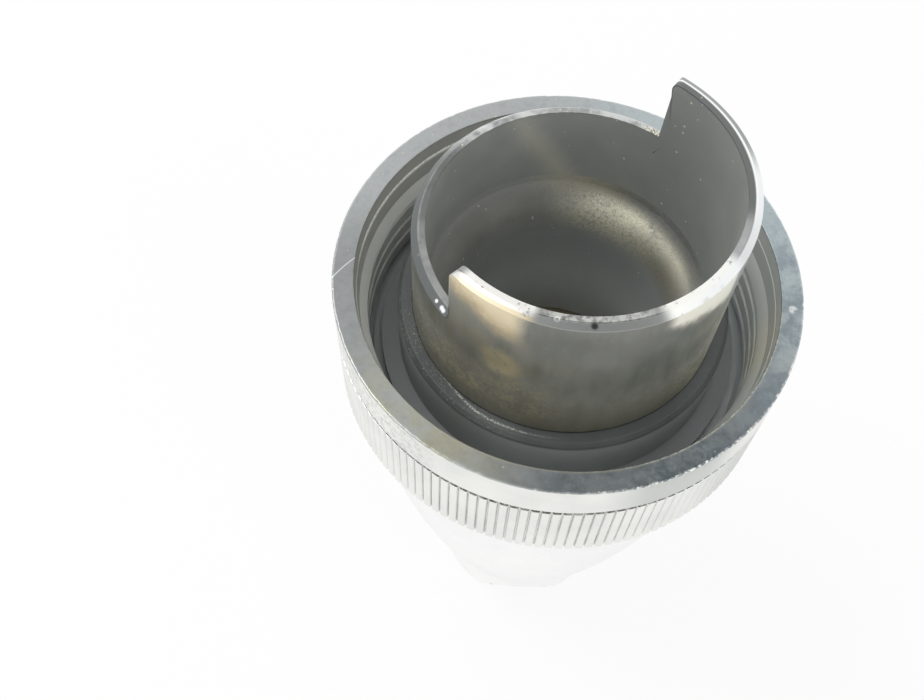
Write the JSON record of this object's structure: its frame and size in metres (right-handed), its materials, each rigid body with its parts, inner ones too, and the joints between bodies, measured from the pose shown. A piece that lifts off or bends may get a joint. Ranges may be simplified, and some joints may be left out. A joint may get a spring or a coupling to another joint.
{
  "type": "cable shutter release coupling",
  "caption": "Camera-end screw coupling of a cable shutter release: knurled captive collar, step-cut locating sleeve, tapered body and sprung plunger.",
  "frame": {"origin": "on the axis, in the plane of the collar's rim, where the coupling seats on the camera", "axes": "+Z along the axis, out of the mouth towards the camera; -Y faces the viewer of the picture, +X is on the right"},
  "size_m": [0.022, 0.022, 0.0406],
  "materials": {
    "collar_nickel": "worn bright nickel plate with tarnish",
    "sleeve_nickel": "satin nickel plate",
    "body_nickel": "bright nickel plate",
    "throat_blackened": "blackened, dusty",
    "plain_brass": "turned",
    "bright_steel": "turned",
    "spring_steel": "drawn wire and strip",
    "red_fibre": "pressed fibre",
    "dark_screws": "blackened"
  },
  "bodies": {
    "body": {"stepped_sleeve": "sleeve_nickel", "tapered_body": "body_nickel", "throat_ring": "throat_blackened", "collar_snap_ring": "spring_steel", "collar_thrust_washer": "spring_steel", "collar_friction_washer": "spring_steel", "sleeve_key_pin": "bright_steel", "guide_bush": "plain_brass", "spring_top_washer": "bright_steel", "return_spring": "spring_steel", "fibre_buffer": "red_fibre", "tail_plug": "body_nickel", "plug_lock_screw": "dark_screws", "ferrule_grub_screws": "dark_screws"},
    "collar": {"screw_collar": "collar_nickel"},
    "plunger": {"plunger_rod": "bright_steel", "plunger_cap": "bright_steel", "cap_pin": "bright_steel", "spring_follower": "plain_brass", "stop_clip": "spring_steel"}
  },
  "joints": [
    {"name": "collar_spin", "type": "hinge", "parent": "body", "child": "collar", "pos_m": [0, 0, 0], "axis": [0, 0, 1], "continuous": true},
    {"name": "plunger_slide", "type": "slide", "parent": "body", "child": "plunger", "axis": [0, 0, 1], "range_m": [0, 0.007], "stiffness_N_per_m": 120, "springref_m": -0.003, "deforming": ["return_spring"]}
  ]
}
